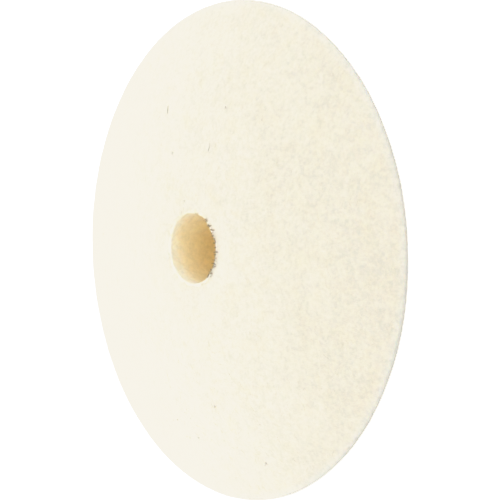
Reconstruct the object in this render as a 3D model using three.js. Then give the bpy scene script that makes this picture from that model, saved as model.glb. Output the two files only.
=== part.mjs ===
// A felt polishing wheel: one disc of hard pressed wool felt with a bore through its middle.
// Both faces are shallow domes that meet in a thin knife edge, so the wheel reaches into grooves
// and round small stones. A narrow flat ring round each mouth of the bore seats a spindle flange.
// Millimetres. The wheel turns about Y, its front face looks along -Y, and its centre is the origin.
import * as THREE from "three";

// Driving dimensions
const WHEEL_DIAMETER = 100;
const HUB_THICKNESS = 25;
const BORE_DIAMETER = 15;
const FLANGE_SEAT_DIAMETER = 24;
const RIM_WIDTH = 0.8;
const BORE_LIP = 0.8;

// How finely the round shapes are cut
const TURN_STEPS = 96;
const DOME_STEPS = 8;
const LIP_STEPS = 3;

// Worked out from the driving dimensions
const wheelRadius = WHEEL_DIAMETER / 2;
const boreRadius = BORE_DIAMETER / 2;
const seatRadius = FLANGE_SEAT_DIAMETER / 2;
const hubHeight = HUB_THICKNESS / 2;
const rimHeight = RIM_WIDTH / 2;

// The dome is part of a sphere centred on the wheel's axis. Its arc runs from the flange seat's
// edge to the rim, and both of those points are one sphere radius from the sphere's centre.
const sphereCentre =
  (seatRadius ** 2 + hubHeight ** 2 - wheelRadius ** 2 - rimHeight ** 2) / (2 * (hubHeight - rimHeight));
const sphereRadius = Math.hypot(wheelRadius, rimHeight - sphereCentre);

// Points of an arc about (centreRadius, centreHeight), from one angle to another, both included.
function arcPoints(centreRadius, centreHeight, arcRadius, startAngle, endAngle, steps) {
  const points = [];
  for (let step = 0; step <= steps; step += 1) {
    const angle = startAngle + ((endAngle - startAngle) * step) / steps;
    points.push(
      new THREE.Vector2(
        centreRadius + arcRadius * Math.cos(angle),
        centreHeight + arcRadius * Math.sin(angle),
      ),
    );
  }
  return points;
}

// One half of the wheel's section, on the +Y side: rim, dome, flange seat and rounded bore lip.
function halfSection() {
  const rimAngle = Math.atan2(rimHeight - sphereCentre, wheelRadius);
  const seatAngle = Math.atan2(hubHeight - sphereCentre, seatRadius);
  const dome = arcPoints(0, sphereCentre, sphereRadius, rimAngle, seatAngle, DOME_STEPS);
  const lip = arcPoints(
    boreRadius + BORE_LIP,
    hubHeight - BORE_LIP,
    BORE_LIP,
    Math.PI / 2,
    Math.PI,
    LIP_STEPS,
  );
  return [...dome, ...lip];
}

// The whole section, closed on itself: the +Y half from rim to bore, then its mirror back to the rim.
function wheelSection() {
  const backHalf = halfSection();
  const frontHalf = backHalf.map((point) => new THREE.Vector2(point.x, -point.y)).reverse();
  return [...backHalf, ...frontHalf, backHalf[0].clone()];
}

function feltMaterial() {
  return new THREE.MeshStandardMaterial({ color: 0xf3eedc, roughness: 0.95, metalness: 0 });
}

function feltWheel() {
  const body = new THREE.Mesh(new THREE.LatheGeometry(wheelSection(), TURN_STEPS), feltMaterial());
  body.name = "felt_wheel";
  return body;
}

const polishingWheel = new THREE.Group();
polishingWheel.add(feltWheel());

export default polishingWheel;
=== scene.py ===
"""The looks of a felt polishing wheel: one lens-shaped disc of pressed wool felt with a bore through it.

Metres, in the CAD's frame: the wheel's centre is the origin, it spins about Y, and its front face
looks along -Y. Sizes that are easier to read in millimetres are written times MM.
"""

import math
import random

import bpy
import numpy as np
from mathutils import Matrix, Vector, noise


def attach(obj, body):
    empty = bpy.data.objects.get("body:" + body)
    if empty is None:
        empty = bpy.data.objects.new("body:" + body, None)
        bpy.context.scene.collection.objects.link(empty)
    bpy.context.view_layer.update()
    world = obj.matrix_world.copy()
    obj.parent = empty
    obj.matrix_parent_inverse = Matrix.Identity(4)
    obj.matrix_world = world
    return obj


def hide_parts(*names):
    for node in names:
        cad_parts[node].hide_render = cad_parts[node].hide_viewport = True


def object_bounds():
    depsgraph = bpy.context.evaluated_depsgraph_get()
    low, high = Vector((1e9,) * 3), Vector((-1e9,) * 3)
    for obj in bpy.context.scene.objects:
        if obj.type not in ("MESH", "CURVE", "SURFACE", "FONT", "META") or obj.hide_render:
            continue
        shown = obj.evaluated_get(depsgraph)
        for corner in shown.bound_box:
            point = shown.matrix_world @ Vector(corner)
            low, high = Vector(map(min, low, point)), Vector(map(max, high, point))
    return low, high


MM = 0.001

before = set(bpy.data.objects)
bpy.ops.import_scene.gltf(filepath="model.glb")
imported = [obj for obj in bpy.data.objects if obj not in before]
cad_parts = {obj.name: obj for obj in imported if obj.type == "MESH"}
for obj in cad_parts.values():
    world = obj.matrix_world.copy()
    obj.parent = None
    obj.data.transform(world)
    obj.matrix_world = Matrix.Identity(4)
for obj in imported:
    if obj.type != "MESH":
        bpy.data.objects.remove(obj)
cad_low, cad_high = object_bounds()


# ---------------------------------------------------------------- sizes from the CAD solid


def wheel_sizes(node):
    """Radii and heights of the turned CAD solid, measured on its own vertices."""
    points = np.array([vertex.co for vertex in node.data.vertices])
    radii = np.hypot(points[:, 0], points[:, 2])
    heights = np.abs(points[:, 1])
    tiny = 0.01 * MM
    return {
        "rim_radius": float(radii.max()),
        "rim_height": float(heights[radii > radii.max() - tiny].max()),
        "hub_height": float(heights.max()),
        "seat_radius": float(radii[heights > heights.max() - tiny].max()),
        "bore_radius": float(radii.min()),
    }


SIZES = wheel_sizes(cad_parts["felt_wheel"])
RIM_RADIUS = SIZES["rim_radius"]
RIM_HEIGHT = SIZES["rim_height"]
HUB_HEIGHT = SIZES["hub_height"]
SEAT_RADIUS = SIZES["seat_radius"]
BORE_RADIUS = SIZES["bore_radius"]

# The dome is part of a sphere on the wheel's axis, through the seat's edge and the rim's edge.
SPHERE_CENTRE = (SEAT_RADIUS**2 + HUB_HEIGHT**2 - RIM_RADIUS**2 - RIM_HEIGHT**2) / (
    2 * (HUB_HEIGHT - RIM_HEIGHT)
)
SPHERE_RADIUS = math.hypot(RIM_RADIUS, RIM_HEIGHT - SPHERE_CENTRE)


# ---------------------------------------------------------------- the wheel's section

DOME_POINTS = 200
FINE_STEP = 0.02 * MM
RIM_SOFTNESS = 0.24 * MM
LIP_SOFTNESS = 0.16 * MM


def path_lengths(points):
    """How far along the path each of its points is."""
    return np.concatenate([[0], np.cumsum(np.linalg.norm(np.diff(points, axis=0), axis=1))])


def resampled(points, steps):
    """The same path with its points steps apart, which is one length, or one for each point."""
    lengths = path_lengths(points)
    between = np.broadcast_to(steps, len(points))[1:]
    passed = np.concatenate([[0], np.cumsum(np.diff(lengths) / between)])
    at = np.interp(np.linspace(0, passed[-1], round(passed[-1]) + 1), passed, lengths)
    return np.stack([np.interp(at, lengths, points[:, axis]) for axis in (0, 1)], axis=1)


def sharp_half_section():
    """Half the section with sharp corners, from the rim's middle over the face to the bore's middle."""
    rim_angle = math.atan2(RIM_HEIGHT - SPHERE_CENTRE, RIM_RADIUS)
    seat_angle = math.atan2(HUB_HEIGHT - SPHERE_CENTRE, SEAT_RADIUS)
    angles = np.linspace(rim_angle, seat_angle, DOME_POINTS)
    dome = np.stack([np.cos(angles), np.sin(angles)], axis=1) * SPHERE_RADIUS + (0, SPHERE_CENTRE)
    ends = np.array([(BORE_RADIUS, HUB_HEIGHT), (BORE_RADIUS, 0.0)])
    return resampled(np.concatenate([[(RIM_RADIUS, 0.0)], dome, ends]), FINE_STEP)


def softened(closed_path, softness):
    """A closed path at fine steps with its corners rounded off over about this length."""
    widths_each_way = 4
    reach = int(widths_each_way * softness / FINE_STEP)
    weights = np.exp(-0.5 * (np.arange(-reach, reach + 1) * FINE_STEP / softness) ** 2)
    weights /= weights.sum()
    padded = np.concatenate([closed_path[-1 - reach : -1], closed_path, closed_path[1 : 1 + reach]])
    return np.stack([np.convolve(padded[:, axis], weights, "valid") for axis in (0, 1)], axis=1)


def soft_section():
    """The whole closed section as (radius, height): front bore, front face, rim, back face, back bore."""
    half = sharp_half_section()
    whole = np.concatenate([half[::-1] * (1, -1), half[1:]])
    near_rim = np.clip(whole[:, :1] / SEAT_RADIUS - 1, 0, 1)
    return softened(whole, LIP_SOFTNESS) * (1 - near_rim) + softened(whole, RIM_SOFTNESS) * near_rim


def outward(points):
    """The outward normal at each point of the section, as its radial and axial parts."""
    ahead = np.gradient(points, axis=0)
    normals = np.stack([ahead[:, 1], -ahead[:, 0]], axis=1)
    return normals / np.linalg.norm(normals, axis=1)[:, None]


SECTION = soft_section()
SECTION_AT = path_lengths(SECTION)
SECTION_NORMALS = outward(SECTION)
SECTION_LENGTH = SECTION_AT[-1]
RIM_AT = SECTION_LENGTH / 2
LIP_AT = HUB_HEIGHT  # along the bore wall from its middle to the front lip


def section_at(distance):
    """Radius, height and outward normal at a distance along the section from the bore's middle."""
    columns = (*SECTION.T, *SECTION_NORMALS.T)
    return [float(np.interp(distance, SECTION_AT, column)) for column in columns]


# ---------------------------------------------------------------- the wheel's body

# The mesh's step along the section, which is smaller round the lips and the rim, and how many points
# its rings have, up to each radius.
CELL = 0.55 * MM
CORNER_CELL = 0.22 * MM
CORNER_REACH = 2.0 * MM
RING_COUNTS = ((25.0 * MM, 288), (math.inf, 576))

# The felt's relief as layers of lumps: how broad they are and how far they stand proud, both in mm, and
# where in the noise each layer is taken from. The second set is only found round the bore's mouths.
FACE_RELIEF = ((11, 0.07, (0, 0, 0)), (2.6, 0.03, (7, 3, 1)), (0.95, 0.03, (1, 9, 4)))
TORN_RELIEF = ((0.8, 0.11, (5, 2, 8)), (2.2, 0.10, (3, 6, 2)))
TORN_REACH = 0.9 * MM

# The bore's front mouth sits a little high and is drawn in all round, which fades out over its reach.
MOUTH_RISE = 0.5 * MM
MOUTH_REACH = 4.0 * MM
MOUTH_SWELL = 0.3 * MM
# Where it is cut out of round: the clock angle from +X towards +Z and how wide each swelling is, both in
# degrees, and how far it stands into the bore, in mm, or with a minus how far it stands back.
MOUTH_SWELLINGS = ((-98, 52, 0.62), (37, 11, 0.45), (135, 55, -0.2))


def ring_count(radius):
    """How many points a ring of this radius has, so that the cells are never much longer one way."""
    return next(count for limit, count in RING_COUNTS if radius < limit)


def cell_steps():
    """The mesh's step at each point of the section: small within half the reach of a lip or the rim."""
    corners = np.array([LIP_AT, RIM_AT, SECTION_LENGTH - LIP_AT])
    nearest = np.abs(SECTION_AT[:, None] - corners).min(axis=1)
    share = np.clip(nearest / CORNER_REACH - 0.5, 0, 1)
    return CORNER_CELL + (CELL - CORNER_CELL) * share


def lumps(place, layers):
    """How high these layers of lumps stand together at a place."""
    total = 0.0
    for size, height, shift in layers:
        total += noise.noise(place / (size * MM) + Vector(shift)) * height * MM
    return total


def relief(place, radius):
    """How far the felt stands proud of its turned shape at a place, along its normal."""
    near_bore = math.exp(-(((radius - BORE_RADIUS) / TORN_REACH) ** 2))
    return lumps(place, FACE_RELIEF) + near_bore * lumps(place, TORN_RELIEF)


def mouth_shift(radius, height, angle):
    """The way that the felt is moved round the bore's front mouth, by the sizes above."""
    near_mouth = math.exp(-(((radius - BORE_RADIUS) / MOUTH_REACH) ** 2)) * max(0.0, -height / HUB_HEIGHT)
    inward = MOUTH_SWELL
    for clock, width, size in MOUTH_SWELLINGS:
        away = (math.degrees(angle) - clock + 180) % 360 - 180
        inward += size * MM * math.exp(-((away / width) ** 2))
    rise = Vector((0, 0, MOUTH_RISE))
    return (rise - Vector((math.cos(angle), 0, math.sin(angle))) * inward) * near_mouth


def spot(radius, height, out, up, angle):
    """A point of the uneven felt, with the directions out of it, along the section and round the wheel."""
    cosine = math.cos(angle)
    sine = math.sin(angle)
    normal = Vector((out * cosine, up, out * sine))
    along = Vector((-up * cosine, out, -up * sine))
    around = Vector((-sine, 0, cosine))
    point = Vector((radius * cosine, height, radius * sine))
    uneven = normal * relief(point, radius) + mouth_shift(radius, height, angle)
    return point + uneven, normal, along, around


def bridge(here, there):
    """Faces between two rings of equal count, or with twice as many points on one of them."""
    if here[1] == there[1]:
        first, second, count = here[0], there[0], here[1]
        return [
            (first + turn, second + turn, second + (turn + 1) % count, first + (turn + 1) % count)
            for turn in range(count)
        ]
    flip = here[1] > there[1]
    coarse, fine = (there, here) if flip else (here, there)
    faces = []
    for turn in range(coarse[1]):
        left = coarse[0] + turn
        right = coarse[0] + (turn + 1) % coarse[1]
        fine_left = fine[0] + 2 * turn
        fine_right = fine[0] + (2 * turn + 2) % fine[1]
        middle = fine_left + 1
        for face in ((left, fine_left, middle), (left, middle, right), (right, middle, fine_right)):
            faces.append(face[::-1] if flip else face)
    return faces


def mesh_object(name, vertices, faces):
    """A smooth-shaded mesh object at the origin."""
    mesh = bpy.data.meshes.new(name)
    mesh.from_pydata(vertices, [], faces)
    mesh.update()
    mesh.shade_smooth()
    piece = bpy.data.objects.new(name, mesh)
    bpy.context.scene.collection.objects.link(piece)
    return piece


def felt_body():
    """The turned wheel as one closed mesh, with the felt's uneven surface in its geometry."""
    points = resampled(SECTION, cell_steps())
    normals = outward(points)
    vertices = []
    rings = []
    for (radius, height), (out, up) in zip(points[:-1], normals[:-1]):
        count = ring_count(radius)
        rings.append((len(vertices), count))
        for turn in range(count):
            vertices.append(tuple(spot(radius, height, out, up, 2 * math.pi * turn / count)[0]))
    faces = []
    for here, there in zip(rings, rings[1:] + rings[:1]):
        faces += bridge(here, there)
    return mesh_object("felt_body", vertices, faces)


# ---------------------------------------------------------------- loose fibres

STRAND_STEPS = 5
ROOT_DEPTH = 0.05 * MM


def fibre_mesh(name, strands):
    """Strands, each a list of points and a thickness, as closed three-sided hairs with pointed ends."""
    lines = np.array([line for line, _ in strands])
    halves = np.array([thickness for _, thickness in strands])[:, None, None] / 2
    ahead = np.gradient(lines, axis=1)
    ahead /= np.linalg.norm(ahead, axis=2)[:, :, None]
    side = np.cross(ahead, (0.3, 0.5, 0.81))
    side /= np.linalg.norm(side, axis=2)[:, :, None]
    top = np.cross(side, ahead)
    corners = []
    for corner in range(3):
        turn = 2 * math.pi * corner / 3
        offset = side * math.cos(turn) + top * math.sin(turn)
        corners.append((lines + offset * halves)[:, 1:-1])
    count = len(strands)
    rings = lines.shape[1] - 2
    body = np.stack(corners, axis=2).reshape(count, rings * 3, 3)
    vertices = np.concatenate([body, lines[:, :1], lines[:, -1:]], axis=1)
    root = rings * 3
    tip = root + 1
    last = root - 3
    pattern = []
    for corner in range(3):
        after = (corner + 1) % 3
        pattern.append((root, corner, after))
        pattern.append((tip, last + after, last + corner))
        for low in range(0, last, 3):
            high = low + 3
            pattern.append((low + after, low + corner, high + after))
            pattern.append((high + after, low + corner, high + corner))
    starts = np.arange(count)[:, None, None] * (root + 2)
    faces = (np.array(pattern)[None] + starts).reshape(-1, 3)
    return mesh_object(name, vertices.reshape(-1, 3).tolist(), faces.tolist())


def strand(root, heading, bend, length, thickness):
    """A hair that leaves its root along heading and turns steadily towards bend."""
    points = [tuple(root)]
    place = Vector(root)
    for step in range(STRAND_STEPS):
        share = (step + 0.5) / STRAND_STEPS
        place += (heading + bend * share).normalized() * (length / STRAND_STEPS)
        points.append(tuple(place))
    return points, thickness


def any_way(normal, draw):
    """A random direction in the surface."""
    spin = draw.uniform(0, 2 * math.pi)
    first = normal.orthogonal().normalized()
    return first * math.cos(spin) + normal.cross(first) * math.sin(spin)


def face_places(first, last):
    """Draws places between two distances along the section, even by area."""

    def place(draw):
        while True:
            distance = draw.uniform(first, last)
            if draw.random() < section_at(distance)[0] / RIM_RADIUS:
                return distance, draw.uniform(0, 2 * math.pi)

    return place


def edge_places(middle, spread):
    """Draws places round the wheel, gathered about one distance along the section."""
    return lambda draw: (draw.gauss(middle, spread) % SECTION_LENGTH, draw.uniform(0, 2 * math.pi))


def bore_places(reach):
    """Draws places on the bore's wall, as far as this from its middle."""
    return lambda draw: (draw.uniform(-reach, reach) % SECTION_LENGTH, draw.uniform(0, 2 * math.pi))


HAIR_CURL = 1.2


def hairs(name, count, seed, place, lift, lengths, thicknesses, lean):
    """Short hairs that lie every way, rise by a share from lift, and come down again; lengths in mm."""
    draw = random.Random(seed)
    strands = []
    for _ in range(count):
        distance, angle = place(draw)
        root, normal, along, _ = spot(*section_at(distance), angle)
        side = any_way(normal, draw)
        rise = draw.uniform(*lift)
        heading = side + normal * rise + along * lean
        bend = normal.cross(side) * draw.gauss(0, HAIR_CURL) - normal * 2 * rise
        sunk = root - normal * ROOT_DEPTH
        length = draw.uniform(*(limit * MM for limit in lengths))
        thickness = draw.uniform(*(limit * MM for limit in thicknesses))
        strands.append(strand(sunk, heading, bend, length, thickness))
    return fibre_mesh(name, strands)


# The tufts along the right of the bore's front lip: their clock angles in degrees, how many hairs each
# has, how far those are spread along the lip, in radians, and across it, and their lengths and
# thicknesses in mm.
TUFT_CLOCKS = (57, 52, 47, 43, 30, 25, 20, 13, 6, 0, -5, -9, -14, -19, -23, -27, -31, -36, -41, -46)
TUFT_HAIRS = 8
TUFT_SPREAD = 0.014
TUFT_DEPTH = 0.1 * MM
TUFT_LENGTHS = (0.35, 0.8)
TUFT_THICKNESSES = (0.07, 0.10)


def tufts(name, seed, distance):
    """Little tufts of cut wool, each of a few hairs that leave the bore together and bend over its lip."""
    draw = random.Random(seed)
    strands = []
    for clock in TUFT_CLOCKS:
        angle = math.radians(clock)
        lean = draw.gauss(0, 0.2)
        size = draw.uniform(*(limit * MM for limit in TUFT_LENGTHS))
        for _ in range(TUFT_HAIRS):
            place = (distance + draw.gauss(0, TUFT_DEPTH)) % SECTION_LENGTH
            root, normal, along, around = spot(*section_at(place), angle + draw.gauss(0, TUFT_SPREAD))
            heading = along * 0.6 + normal * draw.uniform(0.3, 0.9) + around * draw.gauss(lean, 0.1)
            bend = along * 0.8 - normal * draw.uniform(0.2, 0.8)
            sunk = root - normal * ROOT_DEPTH
            length = size * draw.uniform(0.7, 1.1)
            strands.append(strand(sunk, heading, bend, length, draw.uniform(*TUFT_THICKNESSES) * MM))
    return fibre_mesh(name, strands)


# Darker hairs and specks caught in the front face, and cut strands that cross the bore's front lip, which
# are dark brown as painted shade between the lip's tufts: radius in mm, the clock angle from +X towards +Z
# in degrees, length in mm, the way that the hair lies, as such an angle too, and thickness in mm.
FACE_SPECKS = (
    (30, 116, 2.2, 90, 0.25),
    (29, 78, 0.6, 90, 0.56),
    (21.6, 115, 1.0, 0, 0.52),
    (20.1, 81, 2.1, 72, 0.20),
    (10.2, 108, 0.6, 20, 0.44),
    (31, 57.3, 0.5, 95, 0.20),
    (31, -87, 0.7, 40, 0.62),
    (37.2, -110.9, 0.6, 10, 0.20),
    (38.5, -100.6, 0.8, 0, 0.14),
    (43.5, -74.4, 1.0, 40, 0.54),
)
LIP_STRANDS = (
    (7.8, 80, 1.6, -14, 0.16),
    (7.8, 58, 1.4, -38, 0.12),
    (7.8, 43, 0.8, 8, 0.16),
    (7.75, 38, 1.5, -14, 0.34),
    (7.8, 21, 1.0, -70, 0.18),
    (7.7, -1, 0.7, 0, 0.24),
    (7.7, -11, 0.5, -5, 0.24),
    (7.7, -25, 1.0, 8, 0.20),
    (7.7, -38, 0.8, 0, 0.22),
)

# How far off the face a stray hair starts: a share of its thickness, up to a limit in mm.
STRAY_LIFT = 0.4
STRAY_LIFT_LIMIT = 0.06


def front_face():
    """The front face's radii and where they are along the section."""
    face = (SECTION_AT > LIP_AT) & (SECTION_AT < RIM_AT)
    return SECTION[face, 0], SECTION_AT[face]


def stray_hairs(name, rows):
    """Single hairs that lie on the front face, one for each row of the lists above."""
    strands = []
    for radius_mm, clock, length_mm, lie, thickness_mm in rows:
        distance = float(np.interp(radius_mm * MM, *front_face()))
        root, normal, along, around = spot(*section_at(distance), math.radians(clock))
        turn = math.radians(lie - clock)
        heading = along * math.cos(turn) + around * math.sin(turn)
        start = root + normal * min(STRAY_LIFT * thickness_mm, STRAY_LIFT_LIMIT) * MM
        bend = around * 0.5 - normal * 0.1
        strands.append(strand(start, heading, bend, length_mm * MM, thickness_mm * MM))
    return fibre_mesh(name, strands)


# ---------------------------------------------------------------- materials


class Nodes:
    """A short way to write one material's node tree."""

    def __init__(self, name):
        self.material = bpy.data.materials.new(name)
        self.material.use_nodes = True
        self.tree = self.material.node_tree
        self.shader = self.tree.nodes["Principled BSDF"]
        self.place = self.tree.nodes.new("ShaderNodeTexCoord").outputs["Object"]

    def put(self, socket, value):
        """Links a value to a socket, or sets it there if it's a plain number or colour."""
        if isinstance(value, bpy.types.NodeSocket):
            self.tree.links.new(value, socket)
        else:
            socket.default_value = value

    def noise(self, size, detail, shift, distortion=0.0):
        """Noise whose lumps are about this size, from 0 to 1 about a middle of 0.5."""
        node = self.tree.nodes.new("ShaderNodeTexNoise")
        self.put(node.inputs["Vector"], self.moved(self.place, shift))
        node.inputs["Scale"].default_value = 1 / size
        node.inputs["Detail"].default_value = detail
        node.inputs["Distortion"].default_value = distortion
        return node.outputs["Fac"]

    def moved(self, place, shift):
        """A place moved aside, so that two noises don't have their lumps in the same places."""
        node = self.tree.nodes.new("ShaderNodeVectorMath")
        node.operation = "ADD"
        self.put(node.inputs[0], place)
        node.inputs[1].default_value = (shift, shift * 0.7, shift * 1.3)
        return node.outputs[0]

    def math(self, operation, first, second=0.0):
        """One sum on two values; an operation on one value leaves the second out."""
        node = self.tree.nodes.new("ShaderNodeMath")
        node.operation = operation
        self.put(node.inputs[0], first)
        self.put(node.inputs[1], second)
        return node.outputs[0]

    def ramp(self, value, low, high, start=0.0, end=1.0):
        """value taken from the range low..high to start..end, smoothly and no further."""
        node = self.tree.nodes.new("ShaderNodeMapRange")
        node.interpolation_type = "SMOOTHSTEP"
        self.put(node.inputs["Value"], value)
        for name, number in (("From Min", low), ("From Max", high), ("To Min", start), ("To Max", end)):
            node.inputs[name].default_value = number
        return node.outputs["Result"]

    def mix(self, share, first, second):
        """The first colour at a share of 0, and the second at 1."""
        node = self.tree.nodes.new("ShaderNodeMix")
        node.data_type = "RGBA"
        self.put(node.inputs["Factor"], share)
        self.put(node.inputs[6], first)
        self.put(node.inputs[7], second)
        return node.outputs[2]

    def scaled(self, colour, share):
        """A colour times a share."""
        node = self.tree.nodes.new("ShaderNodeVectorMath")
        node.operation = "SCALE"
        self.put(node.inputs[0], colour)
        self.put(node.inputs["Scale"], share)
        return node.outputs[0]

    def tinted(self, colour, offset, tint):
        """colour times one plus the offset, which is stronger or weaker in each channel by the tint."""
        node = self.tree.nodes.new("ShaderNodeVectorMath")
        node.operation = "MULTIPLY_ADD"
        self.put(node.inputs[0], colour)
        self.put(node.inputs[1], self.scaled(tint, offset))
        self.put(node.inputs[2], colour)
        return node.outputs[0]

    def bell(self, value):
        """A bell curve: 1 at zero, and falling off over about 1 on either side."""
        squared = self.math("MULTIPLY", value, value)
        return self.math("EXPONENT", self.math("MULTIPLY", squared, -1.0))

    def hairlines(self, size, width, shift):
        """Thin winding lines like tangled wool: the places where a noise passes its middle value."""
        wander = self.noise(size, 1.0, shift, distortion=0.8)
        away = self.math("ABSOLUTE", self.math("SUBTRACT", wander, 0.5))
        return self.ramp(away, 0.0, width, 1.0, 0.0)


# The faces, the warmer patches in them, and the painted shade that greys the rim.
CREAM = (0.77, 0.729, 0.61, 1)
WARM_CREAM = (0.772, 0.724, 0.594, 1)
RIM_SHADE_GREY = (0.74, 0.725, 0.65, 1)
# The bore's wall, from its mouth to its middle: the tan of cut wool, painted lighter than the faces to
# stand for the light in the bore, and turning darker and warmer further in as painted shade.
PALE_AND_LIT = (0.95, 0.915, 0.79, 1)
HONEY = (0.965, 0.835, 0.56, 1)
AMBER = (0.93, 0.75, 0.42, 1)
# The cut strands on the bore's lip, dark brown as painted shade between the lip's tufts, and the specks in
# the face.
SHADE_BROWN = (0.44, 0.36, 0.25)
GREY_BROWN = (0.69, 0.66, 0.575)
# How strongly the shading below works on each channel, and how far each layer of it lightens or darkens.
MOTTLE_TINT = (1.12, 0.95, 0.9)
MOTTLE_SHADE = 0.05
LUMP_SHADE = 0.032
BLOTCH_SHADE = 0.014
FIBRE_SHADE = 0.03
# How wide the tangled fibres are, as a part of the range of the noise that they follow.
FIBRE_WIDTH = 0.035


def turned_radius(nodes, split):
    """The radius that a point had before mouth_shift moved it, so that colours follow the felt."""
    across = split.outputs["X"]
    upward = split.outputs["Z"]
    across_squared = nodes.math("MULTIPLY", across, across)
    upward_squared = nodes.math("MULTIPLY", upward, upward)
    radius = nodes.math("SQRT", nodes.math("ADD", across_squared, upward_squared))
    inward = nodes.math("MULTIPLY", nodes.math("DIVIDE", upward, radius), -MOUTH_RISE)
    inward = nodes.math("ADD", inward, MOUTH_SWELL)
    for clock, width, size in MOUTH_SWELLINGS:
        towards_across = nodes.math("MULTIPLY", across, math.cos(math.radians(clock)))
        towards_upward = nodes.math("MULTIPLY", upward, math.sin(math.radians(clock)))
        towards = nodes.math("ADD", towards_across, towards_upward)
        away = nodes.math("ARCCOSINE", nodes.math("DIVIDE", towards, radius))
        swelling = nodes.bell(nodes.math("DIVIDE", away, math.radians(width)))
        inward = nodes.math("ADD", inward, nodes.math("MULTIPLY", swelling, size * MM))
    from_bore = nodes.math("DIVIDE", nodes.math("SUBTRACT", radius, BORE_RADIUS), MOUTH_REACH)
    forward = nodes.math("MAXIMUM", nodes.math("DIVIDE", split.outputs["Y"], -HUB_HEIGHT), 0.0)
    near_mouth = nodes.math("MULTIPLY", nodes.bell(from_bore), forward)
    return nodes.math("ADD", radius, nodes.math("MULTIPLY", inward, near_mouth))


def wool_colour(nodes):
    """Cream wool, greyed at the rim by painted shade. In the bore, tan wool under painted light and shade:
    pale at the mouth, then honey, then amber.
    """
    split = nodes.tree.nodes.new("ShaderNodeSeparateXYZ")
    nodes.put(split.inputs[0], nodes.place)
    ragged = nodes.ramp(nodes.noise(1.0 * MM, 3.0, 0.07), 0.2, 0.8, -0.3 * MM, 0.3 * MM)
    ragged_radius = nodes.math("ADD", turned_radius(nodes, split), ragged)
    in_bore = nodes.ramp(ragged_radius, BORE_RADIUS + 0.8 * MM, BORE_RADIUS + 0.2 * MM)
    height = nodes.math("ABSOLUTE", split.outputs["Y"])
    depth = nodes.math("SUBTRACT", HUB_HEIGHT, height)
    # Painted light and shade: the upper wall counts as deeper, so it is darker and warmer, and the lower
    # wall paler.
    depth = nodes.math("ADD", depth, nodes.math("MULTIPLY", split.outputs["Z"], 0.15))
    depth = nodes.math("ADD", depth, nodes.math("MULTIPLY", ragged, 2.0))
    # Painted shade over the cut wool's tan: pale at the mouth, then honey, then amber further in.
    honey = nodes.ramp(depth, -0.5 * MM, 4.0 * MM)
    amber = nodes.ramp(depth, 1.0 * MM, 11.0 * MM)
    # Painted shade: the faces turn grey over their last 1.4 mm towards the rim's middle.
    painted_rim_shade = nodes.ramp(height, 1.4 * MM, 0.2 * MM)
    warm = nodes.ramp(nodes.noise(4.5 * MM, 2.0, 0.41), 0.45, 0.7)
    face = nodes.mix(painted_rim_shade, nodes.mix(warm, CREAM, WARM_CREAM), RIM_SHADE_GREY)
    bore = nodes.mix(amber, nodes.mix(honey, PALE_AND_LIT, HONEY), AMBER)
    return nodes.mix(in_bore, face, bore)


def felt_material():
    """Undyed wool felt: fine tangled fibres on the faces, and rougher cut wool in the bore, tan under
    painted light and shade.
    """
    nodes = Nodes("wool_felt")
    fibres = nodes.hairlines(1.1 * MM, FIBRE_WIDTH, 0.11)
    for size, shift in ((0.8 * MM, 0.23), (1.6 * MM, 0.37), (0.6 * MM, 0.51)):
        fibres = nodes.math("MAXIMUM", fibres, nodes.hairlines(size, FIBRE_WIDTH, shift))
    mottle = nodes.noise(0.7 * MM, 3.0, 0.05)
    lump = nodes.noise(1.6 * MM, 1.0, 0.19)
    blotch = nodes.noise(8 * MM, 2.0, 0.02)
    shade = nodes.ramp(mottle, 0.25, 0.75, -MOTTLE_SHADE, MOTTLE_SHADE)
    shade = nodes.math("ADD", shade, nodes.ramp(lump, 0.25, 0.75, -LUMP_SHADE, LUMP_SHADE))
    shade = nodes.math("ADD", shade, nodes.ramp(blotch, 0.3, 0.7, -BLOTCH_SHADE, BLOTCH_SHADE))
    shade = nodes.math("ADD", shade, nodes.math("MULTIPLY", fibres, FIBRE_SHADE))
    nodes.put(nodes.shader.inputs["Base Color"], nodes.tinted(wool_colour(nodes), shade, MOTTLE_TINT))

    height = nodes.math("ADD", nodes.math("MULTIPLY", mottle, 1.5), nodes.math("MULTIPLY", fibres, 0.5))
    bump = nodes.tree.nodes.new("ShaderNodeBump")
    bump.inputs["Strength"].default_value = 0.5
    bump.inputs["Distance"].default_value = 0.06 * MM
    nodes.put(bump.inputs["Height"], height)
    nodes.put(nodes.shader.inputs["Normal"], bump.outputs["Normal"])
    nodes.put(nodes.shader.inputs["Roughness"], nodes.ramp(mottle, 0.2, 0.8, 0.88, 1.0))
    nodes.shader.inputs["Specular IOR Level"].default_value = 0.15
    nodes.shader.inputs["Subsurface Weight"].default_value = 0.4
    nodes.shader.inputs["Subsurface Radius"].default_value = (1.0, 0.75, 0.45)
    nodes.shader.inputs["Subsurface Scale"].default_value = 2.5 * MM
    nodes.shader.inputs["Sheen Weight"].default_value = 0.15
    nodes.shader.inputs["Sheen Roughness"].default_value = 0.6
    nodes.shader.inputs["Sheen Tint"].default_value = (1, 1, 1, 1)
    return nodes.material


def fibre_material(name, colour_of, low, high):
    """Single hairs, each lighter or darker than the next, from low to high times their colour."""
    nodes = Nodes(name)
    shade = nodes.ramp(nodes.noise(1.5 * MM, 2.0, 0.13), 0.3, 0.7, low, high)
    nodes.put(nodes.shader.inputs["Base Color"], nodes.scaled(colour_of(nodes), shade))
    nodes.shader.inputs["Roughness"].default_value = 0.7
    nodes.shader.inputs["Specular IOR Level"].default_value = 0.2
    return nodes.material


# ---------------------------------------------------------------- studio


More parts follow.
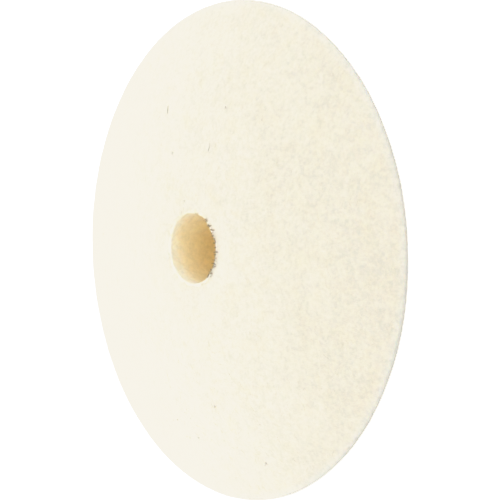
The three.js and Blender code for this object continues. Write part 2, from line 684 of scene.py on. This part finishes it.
def direction(azimuth, elevation):
    """The way from the wheel to something seen at this azimuth, from -Y towards +X, and elevation."""
    level = math.cos(elevation)
    return Vector((math.sin(azimuth) * level, -math.cos(azimuth) * level, math.sin(elevation)))


def aimed(thing, at):
    """Turns a camera or a lamp to look at a point, level with the horizon."""
    thing.rotation_euler = (at - thing.location).to_track_quat("-Z", "Y").to_euler()


# The world's light, how much of it comes from the dimmest side, where that side is, the cosines of the
# angles from it at which the dimming starts and is full, and how bright the world looks to the camera.
AMBIENT = 1.145
DIM_SIDE = 0.42
DIM_AZIMUTH = math.radians(130)
DIM_FROM = 0.3
DIM_FULL = 0.9
BACKDROP_WHITE = 3.0


def white_world():
    """White light from all round, dimmer from behind on the right, and a backdrop seen as pure white."""
    world = bpy.data.worlds.new("studio")
    bpy.context.scene.world = world
    world.use_nodes = True
    tree = world.node_tree
    light = tree.nodes["Background"]
    light.inputs["Color"].default_value = (1, 1, 1, 1)
    way = tree.nodes.new("ShaderNodeTexCoord")
    towards = tree.nodes.new("ShaderNodeVectorMath")
    towards.operation = "DOT_PRODUCT"
    towards.inputs[1].default_value = direction(DIM_AZIMUTH, 0)
    tree.links.new(way.outputs["Generated"], towards.inputs[0])
    dimmed = tree.nodes.new("ShaderNodeMapRange")
    dimmed.interpolation_type = "SMOOTHSTEP"
    dimmed.inputs["From Min"].default_value = DIM_FROM
    dimmed.inputs["From Max"].default_value = DIM_FULL
    dimmed.inputs["To Min"].default_value = AMBIENT
    dimmed.inputs["To Max"].default_value = AMBIENT * DIM_SIDE
    tree.links.new(towards.outputs["Value"], dimmed.inputs["Value"])
    tree.links.new(dimmed.outputs["Result"], light.inputs["Strength"])
    backdrop = tree.nodes.new("ShaderNodeBackground")
    backdrop.inputs["Color"].default_value = (1, 1, 1, 1)
    backdrop.inputs["Strength"].default_value = BACKDROP_WHITE
    seen = tree.nodes.new("ShaderNodeLightPath")
    mix = tree.nodes.new("ShaderNodeMixShader")
    tree.links.new(seen.outputs["Is Camera Ray"], mix.inputs["Fac"])
    tree.links.new(light.outputs[0], mix.inputs[1])
    tree.links.new(backdrop.outputs[0], mix.inputs[2])
    tree.links.new(mix.outputs[0], tree.nodes["World Output"].inputs["Surface"])


FLOOR_GLOW = 1.6


def pale_floor():
    """A white floor just under the rim. It neither lights nor shades the wheel: the world stands for it."""
    size = 40 * RIM_RADIUS
    level = cad_low.z - 1 * MM
    corners = [(-size, -size, level), (size, -size, level), (size, size, level), (-size, size, level)]
    floor = mesh_object("floor", corners, [(0, 1, 2, 3)])
    material = bpy.data.materials.new("pale_floor")
    material.use_nodes = True
    shader = material.node_tree.nodes["Principled BSDF"]
    shader.inputs["Base Color"].default_value = (0.8, 0.8, 0.8, 1)
    shader.inputs["Roughness"].default_value = 1.0
    shader.inputs["Emission Color"].default_value = (1, 1, 1, 1)
    shader.inputs["Emission Strength"].default_value = FLOOR_GLOW
    floor.data.materials.append(material)
    floor.visible_diffuse = False
    floor.visible_shadow = False


# Each lamp's name, azimuth and elevation in degrees, and strength. The key light grazes the front face
# from low on the left, and the high one fills in from the camera's side.
SUNS = (("key", -78, -20, 1.25), ("high", 65, 30, 0.34))
SUN_SOFTNESS = math.radians(30)


def soft_sun(name, azimuth, elevation, strength):
    """A broad lamp shining on the wheel from a direction in degrees."""
    lamp = bpy.data.objects.new(name, bpy.data.lights.new(name, "SUN"))
    lamp.data.energy = strength
    lamp.data.angle = SUN_SOFTNESS
    lamp.location = direction(math.radians(azimuth), math.radians(elevation)) * 10 * RIM_RADIUS
    aimed(lamp, Vector((0, 0, 0)))
    bpy.context.scene.collection.objects.link(lamp)


# The brightest light that the curves reach, the brightest colour of lit felt, and how the light on the
# felt, where 1 is that colour, is shown.
WHITE_LEVEL = 2.0
FELT_WHITE = (0.934, 0.905, 0.817)
SHOULDER = ((0.95, 0.95), (1.02, 0.985), (1.1, 0.995), (1.4, 1.0))


def highlight_curves(view):
    """Bends each colour's brightest tones over to the lit felt's warm white, short of the backdrop's."""
    view.use_curve_mapping = True
    curves = view.curve_mapping
    curves.white_level = (WHITE_LEVEL, WHITE_LEVEL, WHITE_LEVEL)
    for curve, white in zip(curves.curves, FELT_WHITE):
        for light, shown in SHOULDER:
            curve.points.new(light * white / WHITE_LEVEL, shown * white)
        for point in curve.points:
            point.handle_type = "VECTOR"
    curves.update()


CAMERA_AZIMUTH = math.radians(51.26)
CAMERA_ELEVATION = math.radians(3.2)
CAMERA_DISTANCE = 14.4 * RIM_RADIUS
CAMERA_LENS = 259.0
AIM_RIGHT = 0.0317 * RIM_RADIUS
AIM_UP = 0.001 * RIM_RADIUS


def camera():
    """A long lens a little above the wheel's middle and well to the right of its axis."""
    back = direction(CAMERA_AZIMUTH, CAMERA_ELEVATION)
    right = Vector((math.cos(CAMERA_AZIMUTH), math.sin(CAMERA_AZIMUTH), 0))
    up = back.cross(right)
    eye = bpy.data.objects.new("camera", bpy.data.cameras.new("camera"))
    eye.data.lens = CAMERA_LENS
    eye.data.clip_start = 0.01
    eye.data.clip_end = 20
    eye.location = back * CAMERA_DISTANCE
    aimed(eye, right * AIM_RIGHT + up * AIM_UP)
    bpy.context.scene.collection.objects.link(eye)
    bpy.context.scene.camera = eye


scene = bpy.context.scene
scene.view_settings.view_transform = "Standard"
highlight_curves(scene.view_settings)
camera()
white_world()
pale_floor()
for sun in SUNS:
    soft_sun(*sun)

felt = felt_material()
wool_fibre = fibre_material("wool_fibre", wool_colour, 1.0, 1.08)
# Dark brown hairs at the front lip: painted shade between the lip's tufts.
shaded_brown_fibre = fibre_material("shaded_brown_fibre", lambda nodes: SHADE_BROWN, 0.7, 1.3)
grey_fibre = fibre_material("grey_fibre", lambda nodes: GREY_BROWN, 0.8, 1.2)

FACE_EDGE = 1 * MM
LIP_FUZZ_SPREAD = 0.45 * MM
RIM_FUZZ_SPREAD = 0.35 * MM
TUFT_INSET = 0.05 * MM
BACK_LIP_AT = SECTION_LENGTH - LIP_AT
FINE = (0.02, 0.03)
COARSE = (0.025, 0.04)
front_face_places = face_places(LIP_AT + FACE_EDGE, RIM_AT - FACE_EDGE)
back_face_places = face_places(RIM_AT + FACE_EDGE, BACK_LIP_AT - FACE_EDGE)
front_lip_places = edge_places(LIP_AT, LIP_FUZZ_SPREAD)
back_lip_places = edge_places(BACK_LIP_AT, LIP_FUZZ_SPREAD)
bore_wall_places = bore_places(LIP_AT - 0.5 * MM)
rim_places = edge_places(RIM_AT, RIM_FUZZ_SPREAD)

# Each patch of loose hairs: name, count, seed, where they stand, the share of its length that a hair
# rises by, lengths and thicknesses in mm, and how far the hairs lean along the section.
HAIR_PATCHES = (
    ("front_nap", 7500, 11, front_face_places, (0.05, 0.25), (0.6, 2.0), FINE, 0.0),
    ("back_nap", 7500, 12, back_face_places, (0.05, 0.25), (0.6, 2.0), FINE, 0.0),
    ("front_lip_fuzz", 1200, 13, front_lip_places, (0.3, 1.6), (0.3, 0.8), COARSE, 0.3),
    ("back_lip_fuzz", 1200, 14, back_lip_places, (0.3, 1.6), (0.3, 0.8), COARSE, -0.3),
    ("bore_fuzz", 1500, 15, bore_wall_places, (0.2, 1.2), (0.3, 1.0), COARSE, 0.0),
    ("rim_fuzz", 5000, 16, rim_places, (0.1, 0.9), (0.2, 0.6), FINE, 0.0),
)
pieces = [(felt_body(), felt)]
pieces += [(hairs(*patch), wool_fibre) for patch in HAIR_PATCHES]
pieces += [
    # The lip's teeth and strands are dark brown: painted shade between the lip's tufts.
    (tufts("front_lip_teeth", 17, LIP_AT - TUFT_INSET), shaded_brown_fibre),
    (stray_hairs("front_lip_strands", LIP_STRANDS), shaded_brown_fibre),
    (stray_hairs("face_specks", FACE_SPECKS), grey_fibre),
]
for piece, material in pieces:
    piece.data.materials.append(material)
    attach(piece, "root")
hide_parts("felt_wheel")
